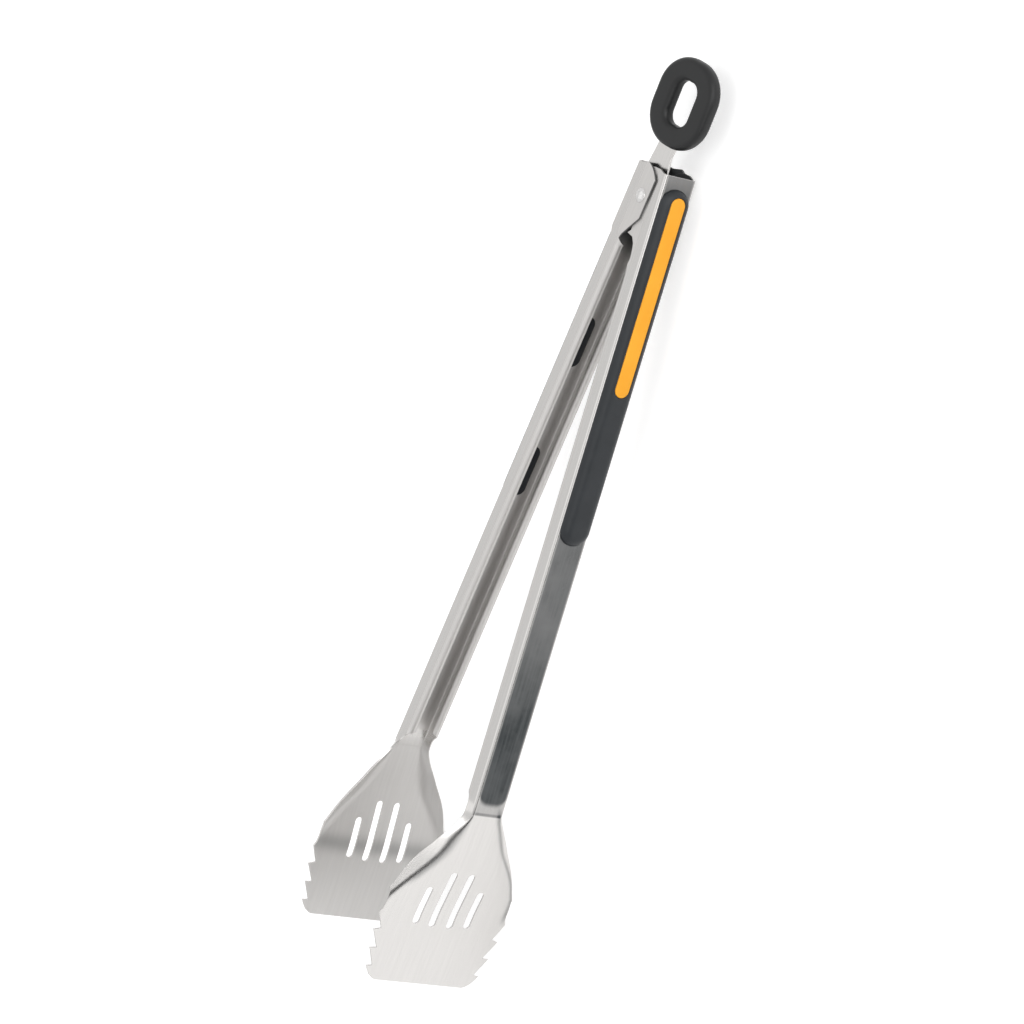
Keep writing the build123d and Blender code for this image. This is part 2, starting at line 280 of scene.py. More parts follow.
def arc_through(a, b, c, count):
    """Points on the circle through three points, from a to c."""
    ax, ay, bx, by, cx, cy = *a, *b, *c
    d = 2 * (ax * (by - cy) + bx * (cy - ay) + cx * (ay - by))
    ux = ((ax**2 + ay**2) * (by - cy) + (bx**2 + by**2) * (cy - ay) + (cx**2 + cy**2) * (ay - by)) / d
    uy = ((ax**2 + ay**2) * (cx - bx) + (bx**2 + by**2) * (ax - cx) + (cx**2 + cy**2) * (bx - ax)) / d
    r = math.dist(a, (ux, uy))
    t0 = math.atan2(ay - uy, ax - ux)
    t1 = math.atan2(by - uy, bx - ux)
    t2 = math.atan2(cy - uy, cx - ux)
    turn = (t2 - t0) % (2 * math.pi)
    if (t1 - t0) % (2 * math.pi) > turn:
        turn -= 2 * math.pi
    return [(ux + r * math.cos(t0 + turn * i / count), uy + r * math.sin(t0 + turn * i / count))
            for i in range(count + 1)]


def stadium(centre, length, width, count=14):
    """Outline of a slot along the first axis."""
    r = width / 2
    c = length / 2 - r
    out = []
    for sign, start in ((1, -math.pi / 2), (-1, math.pi / 2)):
        for i in range(count + 1):
            t = start + math.pi * i / count
            out.append((centre[0] + sign * c + r * math.cos(t), centre[1] + r * math.sin(t)))
    return out


def ear_edge(side):
    """The ear's outline in the side view, as (station, y), from the web's end to the lips."""
    if side == "rear":
        path = [(-12.9, 10.2), (-15.3, 3.7)]
        path += arc_through((-15.3, 3.7), (-13.3, -1.9), (-10.1, -5.9), 18)[1:]
        path += [(9.2, -5.9), (23.3, 3.8)]
        return path
    path = [(-13.3, 11.7), (-14.6, 8.0), (-14.6, 5.2)]
    path += arc_through((-14.6, 5.2), (-13.4, -1.2), (-9.8, -5.4), 18)[1:]
    path += [(9.0, -5.4), (15.0, -0.6), (16.6, -0.7), (18.3, -3.0), (19.3, 1.8), (21.9, 3.9)]
    path += arc_through((21.9, 3.9), (25.5, 4.75), (29.5, 5.1), 10)[1:]
    return path


def arm_half_outline(side, arm):
    """One half of the unrolled arm's outline, from the web's end to the front edge."""
    web_end = [(-arm["web_end"], across) for across in (0.0, FLAT_SPAN, FLANGE_START)]
    ear = [(s, flange_at(arm, y)) for s, y in ear_edge(side)]
    path = subdivide(web_end, 0.5)[:-1]
    path += subdivide(web_end[-1:] + ear, 0.7)
    # the lip, from where it is fully rolled to its tapered end at the neck
    full = LIP_START + LIP_LENGTH
    _, rolled = arm["roll"]
    path += subdivide([path[-1], (rolled - 1.0, full - 0.8), (rolled, full)], 0.5)[1:]
    path += subdivide([path[-1], (NECK - 12.5, full)], 4.0)[1:]
    taper = [(NECK - 11.0, full - 0.9), (NECK - 8.6, LIP_START + 0.5), (NECK - 7.6, LIP_START)]
    path += subdivide([path[-1]] + taper, 0.4)[1:]
    # the head's rim, then its side in plan with the teeth and the corner, then the front edge
    for s in np.arange(NECK - 7.0, NECK + 43.5, 0.7):
        path.append((s, FLANGE_START + float(wall_length(s - NECK))))
    plan = list(SIDE_START)
    for number, (tip, depth, lean) in enumerate(TEETH):
        distance = FIRST_TOOTH + number * TOOTH_PITCH
        plan += [(distance - lean, tip - depth), (distance + TIP_BLUNT[0], tip - TIP_BLUNT[1])]
    plan += list(HEAD_CORNER)
    plan = subdivide(plan, 0.8)
    path += [(NECK + u, across_at(arm, NECK + u, z)) for u, z in plan]
    last = path[-1]
    path += subdivide([last, (last[0], 0.0)], FLAT_SPAN / 24)[1:]
    return path


def closed_pair(half):
    """Mirrors a half outline, which starts and ends on the middle line."""
    return half + [(s, -c) for s, c in reversed(half[1:-1])]


def inside(points, loops):
    """Which points lie within the first loop and outside the others."""
    hit = np.zeros(len(points), bool)
    for loop in loops:
        a = np.array(loop)
        b = np.roll(a, -1, axis=0)
        for (x0, y0), (x1, y1) in zip(a, b):
            if y0 == y1:
                continue
            cut = (points[:, 1] > min(y0, y1)) & (points[:, 1] <= max(y0, y1))
            x = x0 + (points[:, 1] - y0) / (y1 - y0) * (x1 - x0)
            hit ^= cut & (points[:, 0] < x)
    return hit


def clear_of(points, loops, gap):
    """Which points lie at least a gap from every loop."""
    keep = np.ones(len(points), bool)
    for loop in loops:
        a = np.array(loop)
        b = np.roll(a, -1, axis=0)
        for p, q in zip(a, b):
            box = np.all((points > np.minimum(p, q) - gap) & (points < np.maximum(p, q) + gap), axis=1)
            box &= keep
            if not box.any():
                continue
            d = q - p
            t = np.clip((points[box] - p) @ d / max(d @ d, 1e-12), 0, 1)
            near = np.linalg.norm(points[box] - (p + t[:, None] * d), axis=1) < gap
            keep[np.flatnonzero(box)[near]] = False
    return keep


def filled(loops, grid=()):
    """Anticlockwise triangles between the loops, over the loops' points and then the grid's."""
    points, edges = [], []
    for loop in loops:
        base = len(points)
        points += loop
        edges += [(base + i, base + (i + 1) % len(loop)) for i in range(len(loop))]
    points += list(grid)
    out = delaunay_2d_cdt([Vector(p) for p in points], edges, [], 0, 1e-6, False)
    flat = np.array([tuple(v) for v in out[0]])
    tris = np.array(out[2])
    tris = tris[inside(flat[tris].mean(1), loops)]
    a, b, c = flat[tris[:, 0]], flat[tris[:, 1]], flat[tris[:, 2]]
    area = (b[:, 0] - a[:, 0]) * (c[:, 1] - a[:, 1]) - (b[:, 1] - a[:, 1]) * (c[:, 0] - a[:, 0])
    tris[area < 0] = tris[area < 0][:, ::-1]
    return flat, tris


def triangulated(loops, grid, gap):
    """Points and triangles that fill the outline and leave out the holes."""
    grid = grid[inside(grid, loops)]
    grid = grid[clear_of(grid, loops, gap)]
    flat, tris = filled(loops, grid)
    used = np.unique(tris)
    renumber = np.full(len(flat), -1)
    renumber[used] = np.arange(len(used))
    return flat[used], renumber[tris]


def border(tris):
    """Directed edges on the border of a triangle mesh."""
    edges = np.concatenate([tris[:, [0, 1]], tris[:, [1, 2]], tris[:, [2, 0]]])
    seen = {(a, b) for a, b in edges.tolist()}
    return [(a, b) for a, b in edges.tolist() if (b, a) not in seen]


def new_object(name, verts, faces, normals=None):
    """A smooth-shaded object from points in millimetres."""
    mesh = bpy.data.meshes.new(name)
    mesh.from_pydata([tuple(v) for v in np.asarray(verts) * MM], [], faces)
    mesh.validate()
    mesh.update()
    mesh.shade_smooth()
    if normals is not None:
        mesh.normals_split_custom_set_from_vertices([tuple(n) for n in normals])
    obj = bpy.data.objects.new(name, mesh)
    bpy.context.scene.collection.objects.link(obj)
    return obj


def sheet_piece(name, flat, tris, point, place, half, edge, grain, tone_and_dull):
    """A sheet of even thickness with rounded edges, from its unrolled triangles.

    point maps an unrolled place to the middle of the sheet, grain to its texture coordinates, and
    tone_and_dull to how dark it is, with painted shade and painted reflection on the arms, and how dull.
    """
    middle = point(flat)
    normal = surface_normals(point, flat)
    a, b, c = (middle[tris[:, i]] for i in range(3))
    facing = np.einsum("ij,ij->i", np.cross(b - a, c - a), normal[tris].sum(1))
    if np.median(facing) < 0:
        tris = tris[:, ::-1]
    rim = border(tris)
    nxt = {i: j for i, j in rim}
    prv = {j: i for i, j in rim}
    ring = np.array(sorted(nxt))
    ahead = middle[[nxt[i] for i in ring]] - middle[ring]
    behind = middle[ring] - middle[[prv[i] for i in ring]]
    ahead /= np.maximum(np.linalg.norm(ahead, axis=1, keepdims=True), 1e-9)
    behind /= np.maximum(np.linalg.norm(behind, axis=1, keepdims=True), 1e-9)
    out = np.cross(ahead + behind, normal[ring])
    out /= np.maximum(np.linalg.norm(out, axis=1, keepdims=True), 1e-9)
    count = len(flat)
    slot_of = {v: k for k, v in enumerate(ring)}
    top = middle + normal * half
    bottom = middle - normal * half
    top[ring] -= out * edge
    bottom[ring] -= out * edge
    verts, normals = [top, bottom], [normal, -normal]
    # the rounded edge: inset, level and lean of its four rows, between the two faces
    s = edge * (1 - math.sqrt(0.5))
    rows = ((s, half - s, 0.7), (0, half - edge, 0.0), (0, edge - half, 0.0), (s, s - half, -0.7))
    for inset, level, lean in rows:
        verts.append(middle[ring] - out * inset + normal[ring] * level)
        normals.append(out * (1 - abs(lean) * 0.3) + normal[ring] * lean)
    verts = np.concatenate(verts)
    normals = np.concatenate(normals)
    size = len(ring)

    def layer(v, level):
        if level == 0:
            return v
        if level == 5:
            return count + v
        return 2 * count + (level - 1) * size + slot_of[v]

    faces = [tuple(t) for t in tris.tolist()]
    faces += [tuple(count + i for i in reversed(t)) for t in tris.tolist()]
    for i, j in rim:
        for level in range(5):
            faces.append((layer(j, level), layer(i, level), layer(i, level + 1), layer(j, level + 1)))
    turned, mirrored = place
    if mirrored:
        faces = [tuple(reversed(f)) for f in faces]
    verts = verts @ turned.T + PIVOT
    normals = normals @ turned.T
    normals /= np.linalg.norm(normals, axis=1, keepdims=True)
    obj = new_object(name, verts, faces, normals)
    source = np.concatenate([np.arange(count), np.arange(count), np.tile(ring, 4)])
    uv = grain(flat)[source] * MM
    layer_uv = obj.data.uv_layers.new(name="grain")
    corner = np.zeros(len(obj.data.loops), np.int32)
    obj.data.loops.foreach_get("vertex_index", corner)
    layer_uv.data.foreach_set("uv", uv[corner].astype(np.float32).ravel())
    # the tone darkens the colour; on the arms it is painted shade and painted reflection
    outside, inner, rims, dull_outside, dull_inner = tone_and_dull(flat)
    tones = np.concatenate([outside, inner, np.tile(rims[ring], 4)])
    dulls = np.concatenate([dull_outside, dull_inner, np.tile(dull_outside[ring], 4)])
    for title, values in (("tone", tones), ("dull", dulls)):
        attribute = obj.data.attributes.new(title, "FLOAT", "POINT")
        attribute.data.foreach_set("value", values.astype(np.float32))
    return obj


def placement(turn, mirrored=False):
    """Turns a piece about the pivot, and mirrors it for the front arm."""
    t = math.radians(turn)
    matrix = np.array([[math.cos(t), -math.sin(t), 0], [math.sin(t), math.cos(t), 0], [0, 0, 1]])
    if mirrored:
        matrix = np.diag([1.0, -1.0, 1.0]) @ matrix
    return matrix, mirrored


def arm_grid():
    """Points over the whole unrolled arm, close together where it bends."""
    rows = np.concatenate([
        np.arange(-15.6, 40, 0.8),
        np.arange(40, NECK - 14, 4.0),
        np.arange(NECK - 14, NECK - 4, 0.7),
        np.arange(NECK - 4, NECK + 6, 0.4),
        np.arange(NECK + 6, NECK + HEAD_LENGTH, 0.9),
    ])
    half = np.concatenate([
        np.linspace(0, FLAT_SPAN, 25),
        np.linspace(FLAT_SPAN, FLANGE_START, 9)[1:],
        np.linspace(FLANGE_START, LIP_START, 8)[1:],
        np.linspace(LIP_START, LIP_START + LIP_LENGTH, 16)[1:],
        np.arange(LIP_START + LIP_LENGTH + 0.6, FLANGE_START + 19, 0.8),
    ])
    columns = np.concatenate([-half[:0:-1], half])
    s, c = np.meshgrid(rows, columns, indexing="ij")
    return np.stack([s.ravel(), c.ravel()], 1)


def arm_painted_shade_and_dull(flat):
    """How much painted shade and painted reflection darken the outside, the inside and the cut edges, and how
    dull each side is.
    """
    station, m = flat[:, 0], np.abs(flat[:, 1])
    u = station - NECK
    channel = 1 - step((u + 14.0) / 8.0)
    head = step((u + 6.0) / 8.0)

    # outside, a painted dark reflection lies on the web, darkest towards the head, and fades into a painted
    # shade line in the crease at the neck
    web = 1 - step((m - FLAT_SPAN + 0.5) / 2.0)
    fading = 1 - 0.62 * step((u + 6.5 + 3.0 * (m / FLAT_SPAN) ** 4) / 3.0)
    neck_line = 0.38 + 0.3 * step((u + 1.2) / 0.6) - 0.68 * step((u - 0.2) / 0.7)
    along = np.where(u > -2.0, neck_line, fading)
    end = 0.88 + 0.12 * step((station - 195.0) / 70.0) - 0.12 * (1 - step((station + 13.5) / 9.0))

    # the fold gets a painted dark reflection along its middle on one side, and inside the rim on the other
    middle = np.exp(-(((m - FLAT_SPAN) / BEND_SPAN - 0.5) / 0.3) ** 2) * (1 - step((u - 34.0) / 8.0))
    rim = np.stack([station, FLANGE_START + wall_length(u)], 1)
    rim_width = np.minimum(arm_point(ARMS["rear"], rim)[:, 2], SIDE_START[0][1] + 0.1)
    inset = rim_width - np.abs(arm_point(ARMS["rear"], flat)[:, 2])
    line = 3.4 + 1.2 * step((u - 6.0) / 10.0) - 3.8 * step((u - 18.0) / 20.0)
    by_rim = np.exp(-((inset - line) / 1.4) ** 2) * (1 - step((u - 50.0) / 8.0))
    fold = head * np.where(flat[:, 1] < 0, 0.55 * by_rim, 0.45 * middle)
    outside = web * along * end + fold

    # inside, painted shade darkens the ears by the pivot, and a painted dark reflection band crosses the head
    # over a slightly darker inside of the head
    ears = 1 - step((station - 22.0) / 16.0)
    band = 0.34 * np.exp(-((u - 53.5) / 4.5) ** 2) + head * (0.10 + 0.06 * step((u - 45.0) / 25.0))
    inner = np.maximum(ears, band)
    # the ears' cut edges get painted shade, for the dark gap between the ears
    ear_edges = np.where((m > FLANGE_START + 1.0) & (station < 30.0), 0.8, 0.0)

    lips = step((m - LIP_START + 1.0) / 1.5)
    return outside, inner, ear_edges, lips * channel, np.maximum(channel, 0.7 * head)


def arm_piece(side):
    """One arm: the unrolled outline with its holes, bent to shape."""
    arm = ARMS[side]
    loops = [closed_pair(arm_half_outline(side, arm))]
    for place in TABS:
        hole = stadium((place, 0), *TAB_SIZE)
        loops.append([(s, z / (HALF_CHANNEL - BEND - HALF_SHEET) * FLAT_SPAN) for s, z in hole])
    for offset, distance, length in DRAIN_SLOTS:
        for sign in (-1, 1):
            hole = stadium((NECK + distance, sign * offset), length, DRAIN_WIDTH, 10)
            hole = subdivide(hole + hole[:1], 1.2)[:-1]
            loops.append([(s, z / float(plate_half(s - NECK)) * FLAT_SPAN) for s, z in hole])
    for sign in (-1, 1):
        centre = sign * flange_at(arm, 0.0)
        loops.append([(arm["hole"] * math.cos(t), centre + arm["hole"] * math.sin(t))
                      for t in np.linspace(0, 2 * math.pi, 41)[:-1]])
    flat, tris = triangulated(loops, arm_grid(), 0.16)

    def point(f):
        return arm_point(arm, f)

    def grain(f):
        on_flange = np.sign(f[:, 1]) * np.maximum(np.abs(f[:, 1]) - FLAT_SPAN, 0)
        return np.stack([f[:, 0], arm_point(arm, f)[:, 2] + on_flange], 1)

    place = placement(arm["turn"], arm["mirror"])
    name = f"{side}_arm_sheet"
    return sheet_piece(name, flat, tris, point, place, HALF_SHEET, EDGE_ROUND, grain, arm_painted_shade_and_dull)


# ---------------------------------------------------------------- lofted pieces

def consistent(obj):
    """Joins the mesh where its points meet and makes all its faces point outwards."""
    bm = bmesh.new()
    bm.from_mesh(obj.data)
    bmesh.ops.remove_doubles(bm, verts=bm.verts, dist=1e-7)
    bmesh.ops.recalc_face_normals(bm, faces=bm.faces)
    if bm.calc_volume(signed=True) < 0:
        bmesh.ops.reverse_faces(bm, faces=bm.faces)
    bm.to_mesh(obj.data)
    bm.free()
    obj.data.shade_smooth()


def lofted(name, rings, place, closed=False):
    """Skins rings with the same number of points: a closed chain of them, or a run with both ends filled."""
    matrix, mirrored = place
    count, last = len(rings[0]), len(rings) - 1
    verts = np.concatenate([np.asarray(r, float) for r in rings])
    faces = []
    pairs = [(i, i + 1) for i in range(last)]
    if closed:
        pairs.append((last, 0))
    for a, b in pairs:
        for i in range(count):
            j = (i + 1) % count
            faces.append((a * count + i, a * count + j, b * count + j, b * count + i))
    if not closed:
        faces.append(tuple(reversed(range(count))))
        faces.append(tuple(last * count + i for i in range(count)))
    if mirrored:
        faces = [tuple(reversed(f)) for f in faces]
    return new_object(name, verts @ matrix.T + PIVOT, faces)


GRIP_LENGTH = 172.2
GRIP_END = 7.7                  # end of the grip beyond the pivot
GRIP_CENTRE = GRIP_END - GRIP_LENGTH / 2
GRIP_HALF = {"front": 7.85, "rear": 7.5}
GRIP_FOOT = -0.25               # the pad's underside, sunk into the web so that no gap shows
# distance in from the pad's outline, height above the web, for the wider pad
GRIP_PROFILE = np.array((
    (0, 0.25), (0.03, 0.5), (0.10, 0.78), (0.34, 1.28), (0.72, 1.82), (1.2, 2.34), (1.75, 2.82), (2.35, 3.24),
    (2.95, 3.56), (3.45, 3.74), (4.2, 3.9), (7.9, 4.05),
))
GRIP_ROWS = (0.0, 0.02, 0.10, 0.22, 0.42, 0.66, 0.95, 1.3, 1.7, 2.15, 2.6)     # insets of its flank's rows
INLAY_LENGTH = 95.8
INLAY_WIDTH = 7.8
INLAY_END = 4.5
INLAY_CENTRE = INLAY_END - INLAY_LENGTH / 2
# inset from the strip's edge, height above the pad's crown
INLAY_PROFILE = (
    (0.0, -1.12), (0.0, -0.3), (0.03, -0.12), (0.12, 0.0), (0.28, 0.06), (0.6, 0.08), (1.2, 0.09),
    (2.2, 0.09), (3.2, 0.09), (3.8, 0.09),
)
INLAY_TRIM = (0.2, 0.1)         # taken off the strip's length and width, so that it clears its recess
# the recess's rows: how much longer and wider than the inlay's full size, and how deep
RECESS_ROWS = ((0.34, 0.02), (0.22, 0.10), (0.20, 0.4), (0.20, 1.15))
TAB_FIT = 0.06                  # taken off a tab's length and width, so that it clears its slot
TAB_BULGE = 0.2                 # how far a tab's side stands out of the sheet's inner face
TAB_ROUND = 0.3                 # taken off its length and width at its end
TAB_END = 0.18                  # height of that rounding

crown = monotone(*GRIP_PROFILE.T)


def grip_height(x, z, side):
    """Height of the pad above the web, from the distance to its outline."""
    half = GRIP_HALF[side]
    past = np.maximum(np.abs(x - GRIP_CENTRE) - (GRIP_LENGTH / 2 - half), 0)
    depth = np.maximum(half - np.hypot(past, z), 0)
    return crown(depth * GRIP_HALF["front"] / half)


def pad_piece(side):
    """The pad as one closed mesh: crown, recess for the inlay, flanks, underside and tabs."""
    arm = ARMS[side]
    web = arm["web"]
    matrix, _ = placement(arm["turn"], arm["mirror"])
    half = GRIP_HALF[side]
    verts, faces = [], []

    def ring(length, width, height, mid=GRIP_CENTRE, count=24):
        """Adds a ring of points; height is a number, or a function of x and z."""
        outline = stadium((mid, 0), length, width, count)
        outline = subdivide(outline + outline[:1], 3.0)[:-1]
        base = len(verts)
        for x, z in outline:
            h = height(x, z) if callable(height) else height
            verts.append((x, web + h, z))
        return list(range(base, base + len(outline)))

    def skin(rings):
        for a, b in zip(rings[:-1], rings[1:]):
            for i in range(len(a)):
                j = (i + 1) % len(a)
                faces.append((a[i], a[j], b[j], b[i]))

    def height(x, z):
        return float(grip_height(np.array(x), np.array(z), side))

    def plan(ring_ids):
        return [(verts[i][0], verts[i][2]) for i in ring_ids]

    # the flanks, from the foot up to the last row, and the recess for the inlay
    foot = ring(GRIP_LENGTH, 2 * half, GRIP_FOOT)
    flank = [ring(GRIP_LENGTH - 2 * inset, 2 * half - 2 * inset, height) for inset in GRIP_ROWS]
    skin([foot] + flank)
    recess = []
    for grow, down in RECESS_ROWS:
        def lowered(x, z, depth=down):
            return height(x, z) - depth
        recess.append(ring(INLAY_LENGTH + grow, INLAY_WIDTH + grow, lowered, INLAY_CENTRE, 20))
    skin(recess)
    faces.append(tuple(recess[-1]))

    # the crown between them
    loops = [plan(flank[-1]), plan(recess[0])]
    xs = np.arange(GRIP_CENTRE - GRIP_LENGTH / 2, GRIP_CENTRE + GRIP_LENGTH / 2, 1.6)
    gx, gz = np.meshgrid(xs, np.linspace(-4.5, 4.5, 11), indexing="ij")
    grid = np.stack([gx.ravel(), gz.ravel()], 1)
    grid = grid[inside(grid, loops)]
    grid = grid[clear_of(grid, loops, 0.35)]
    _, tris = filled(loops, grid)
    ids = flank[-1] + recess[0]
    for x, z in grid:
        ids.append(len(verts))
        verts.append((x, web + height(x, z), z))
    faces += [tuple(ids[i] for i in t) for t in tris.tolist()]

    # the underside, with the two tabs
    length, width = TAB_SIZE[0] - TAB_FIT, TAB_SIZE[1] - TAB_FIT
    tabs = []
    for place in TABS:
        tabs.append([
            ring(length, width, GRIP_FOOT, -place, 14),
            ring(length, width, -SHEET - TAB_BULGE, -place, 14),
            ring(length - TAB_ROUND, width - TAB_ROUND, -SHEET - TAB_BULGE - TAB_END, -place, 14),
        ])
    _, tris = filled([plan(foot)] + [plan(tab[0]) for tab in tabs])
    ids = foot + [i for tab in tabs for i in tab[0]]
    faces += [tuple(ids[i] for i in reversed(t)) for t in tris.tolist()]
    for tab in tabs:
        skin(tab[::-1])
        faces.append(tuple(reversed(tab[-1])))
    obj = new_object(f"{side}_grip_pad", np.array(verts) @ matrix.T + PIVOT, faces)
    consistent(obj)
    return obj


def inlay_piece(side):
    """The strip in the pad's recess, which follows the pad's crown."""
    arm = ARMS[side]
    place = placement(arm["turn"], arm["mirror"])
    length, width = INLAY_LENGTH - INLAY_TRIM[0], INLAY_WIDTH - INLAY_TRIM[1]
    rings = []
    for inset, rise in INLAY_PROFILE:
        outline = np.array(stadium((INLAY_CENTRE, 0), length - 2 * inset, width - 2 * inset, 24))
        level = arm["web"] + grip_height(outline[:, 0], outline[:, 1], side) + rise
        rings.append(np.stack([outline[:, 0], level, outline[:, 1]], 1))
    obj = lofted(f"{side}_inlay_strip", rings, place)
    consistent(obj)
    return obj


# the rivet's domed head, from its rim to its middle: radius and height above the ear
RIVET_HEAD = (
    (3.4, 0.0), (3.5, 0.05), (3.5, 0.14), (3.4, 0.24), (3.1, 0.5), (2.65, 0.78), (2.1, 1.06), (1.5, 1.29),
    (0.9, 1.43), (0.4, 1.49), (0.05, 1.5),
)
RIVET_RADIUS = 2.5


def rivet_piece():
    """The rivet turned round the pivot, a head at each end."""
    half = ARMS["rear"]["ear_half"]
    profile = [(r, -(half + h)) for r, h in reversed(RIVET_HEAD)]
    profile += [(RIVET_RADIUS, -half), (RIVET_RADIUS, half)]
    profile += [(r, half + h) for r, h in RIVET_HEAD]
    turns = np.linspace(0, 2 * math.pi, 57)[:-1]
    rings = [[(r * math.cos(t), r * math.sin(t), h) for t in turns] for r, h in profile]
    obj = lofted("pivot_rivet_turned", rings, placement(0.0))
    consistent(obj)
    return obj


def tube(name, path, radius, place, count=12):
    """A round wire along a list of points, with its frame carried along."""
    path = np.array(path, float)
    tangent = np.gradient(path, axis=0)
    tangent /= np.linalg.norm(tangent, axis=1, keepdims=True)
    normal = np.cross(tangent[0], (0.0, 0.0, 1.0))
    normal /= np.linalg.norm(normal)
    rings = []
    for p, t in zip(path, tangent):
        normal = normal - t * (normal @ t)
        normal /= np.linalg.norm(normal)
        other = np.cross(t, normal)
        rings.append([p + radius * (math.cos(a) * normal + math.sin(a) * other)
                      for a in np.linspace(0, 2 * math.pi, count + 1)[:-1]])
    ends = []
    for end, sign in ((0, -1), (-1, 1)):
        cut = path[end] + sign * tangent[end] * radius * 0.3
        ends.append([cut + 0.72 * (q - path[end]) for q in rings[end]])
    obj = lofted(name, ends[:1] + rings + ends[1:], place)
    consistent(obj)
    return obj


SPRING_WIRE = 1.6
COIL_RADIUS = 4.4
COIL_TURNS = 3
COIL_PITCH = 1.7
COIL_DROP = 1.7                 # how far the coil's middle lies from the pivot's middle
LEG_REACH = 24.0                # where a leg's end lies along its arm
LEG_CLEARANCE = 0.12


def spring_path():
    """Coil round the rivet, with a straight leg to each web."""

    def leg_run(arm):
        """A leg's slope and length, from the coil to the inside of the web."""
        swing = math.radians(-arm["turn"])
        reach = arm["web"] - SHEET - SPRING_WIRE / 2 - LEG_CLEARANCE
        x = LEG_REACH * math.cos(swing) - reach * math.sin(swing)
        y = LEG_REACH * math.sin(swing) + reach * math.cos(swing)
        distance = math.hypot(x, y)
        slope = math.atan2(y, x) - math.asin(COIL_RADIUS / distance)
        return slope, math.sqrt(distance ** 2 - COIL_RADIUS ** 2)

    rear_slope, rear_length = leg_run(ARMS["rear"])
    front_slope, front_length = leg_run(ARMS["front"])
    start = math.pi / 2 - rear_slope
    total = 2 * math.pi * COIL_TURNS + (math.pi / 2 - rear_slope) + (math.pi / 2 - front_slope)
    rise = total / (2 * math.pi) * COIL_PITCH
    angles = start - np.linspace(0, total, 220)
    zs = -COIL_DROP - rise / 2 + np.linspace(0, rise, 220)
    coil = [(COIL_RADIUS * math.cos(a), COIL_RADIUS * math.sin(a), z) for a, z in zip(angles, zs)]
    climb = COIL_PITCH / (2 * math.pi * COIL_RADIUS)

    def leg(end, sign, length):
        """The wire's straight run off the coil's end."""
        a = angles[end]
        along = np.array([math.sin(a), -math.cos(a), climb]) * sign
        return [tuple(coil[end] + along * length * f) for f in np.linspace(0, 1, 14)[1:]]

    return leg(0, -1, rear_length)[::-1] + coil + leg(-1, 1, front_length)


# the lock strip's two edges as (x, distance from its middle line), from the ring to its inner end
STRIP_REAR_EDGE = (
    (32.5, 5.0), (25.0, 5.9), (20.9, 6.4), (14.4, 7.4), (7.5, 8.2), (0.5, 8.2), (-4.5, 6.0), (-14.5, 6.0),
    (-16.0, 4.5),
)
STRIP_FRONT_EDGE = (
    (32.5, 5.8), (25.3, 5.4), (21.4, 4.9), (17.3, 5.6), (14.1, 6.2), (7.5, 8.2), (0.5, 8.2), (-4.5, 6.0),
    (-14.5, 6.0), (-16.0, 4.5),
)
STRIP_HALF = 0.6
STRIP_ROUND = 0.2
STRIP_TONE = 0.16
STRIP_LEVEL = 5.3               # height of the strip's middle along the pivot
SLOT_WIDTH = 5.6
SLOT_TRAVEL = 9.0
LOCK_SWING = 3.0                # the lock's direction from the row's X axis, in degrees
LOCK_TILT = 12.0                # its turn about its own length, in degrees


def lock_place():
    """How the strip and ring are turned about the pivot, and where the strip's middle lies."""
    tilt = math.radians(LOCK_TILT)
    matrix, _ = placement(-LOCK_SWING)
    lean = np.array([
        [1, 0, 0],
        [0, math.cos(tilt), -math.sin(tilt)],
        [0, math.sin(tilt), math.cos(tilt)],
    ])
    return matrix @ lean, matrix @ np.array([0, 0, STRIP_LEVEL])


def strip_piece():
    """Flat strip with its rivet slot."""
    outline = list(STRIP_REAR_EDGE) + [(x, -y) for x, y in reversed(STRIP_FRONT_EDGE)]
    outline = subdivide(outline + outline[:1], 1.0)[:-1]
    slot = stadium((-SLOT_TRAVEL / 2, 0), SLOT_TRAVEL + SLOT_WIDTH, SLOT_WIDTH, 16)
    xs, ys = np.meshgrid(np.arange(-16, 33, 1.2), np.arange(-8, 8.1, 1.0), indexing="ij")
    flat, tris = triangulated([outline, slot], np.stack([xs.ravel(), ys.ravel()], 1), 0.4)
    turned, shift = lock_place()

    def point(f):
        return np.stack([f[:, 0], f[:, 1], np.zeros(len(f))], 1)

    def grain(f):
        return f

    def tone_and_dull(f):
        plain = np.zeros(len(f))
        return plain + STRIP_TONE, plain + STRIP_TONE, plain, plain, plain

    place = (turned, False)
    obj = sheet_piece("lock_strip_plate", flat, tris, point, place, STRIP_HALF, STRIP_ROUND, grain, tone_and_dull)
    obj.data.transform(Matrix.Translation(Vector(shift * MM)))
    return obj


def rounded_box(length, width, corner, segments, straight):
    """Points round a rounded rectangle, the same number whatever its size."""
    out = []
    cx, cy = length / 2 - corner, width / 2 - corner
    corners = ((cx, cy, 0), (-cx, cy, 1), (-cx, -cy, 2), (cx, -cy, 3))

    def on_corner(x, y, turn):
        angle = math.pi / 2 * turn
        return x + corner * math.cos(angle), y + corner * math.sin(angle)

    for number, (x, y, quarter) in enumerate(corners):
        arc = [on_corner(x, y, quarter + i / segments) for i in range(segments + 1)]
        following = on_corner(*corners[(number + 1) % 4])
        out += arc
        out += [part_way(arc[-1], following, i, straight) for i in range(1, straight)]
    return np.array(out)


RING_CENTRE = 46.3              # from the pivot
RING_SIZE = (42.2, 36.2, 16.4)  # length, width, corner
RING_HOLE = (21.0, 13.0, 5.2)
RING_HALF = 3.6                 # half its thickness
RING_ROUND = 3.05
RING_CROWN = 0.06


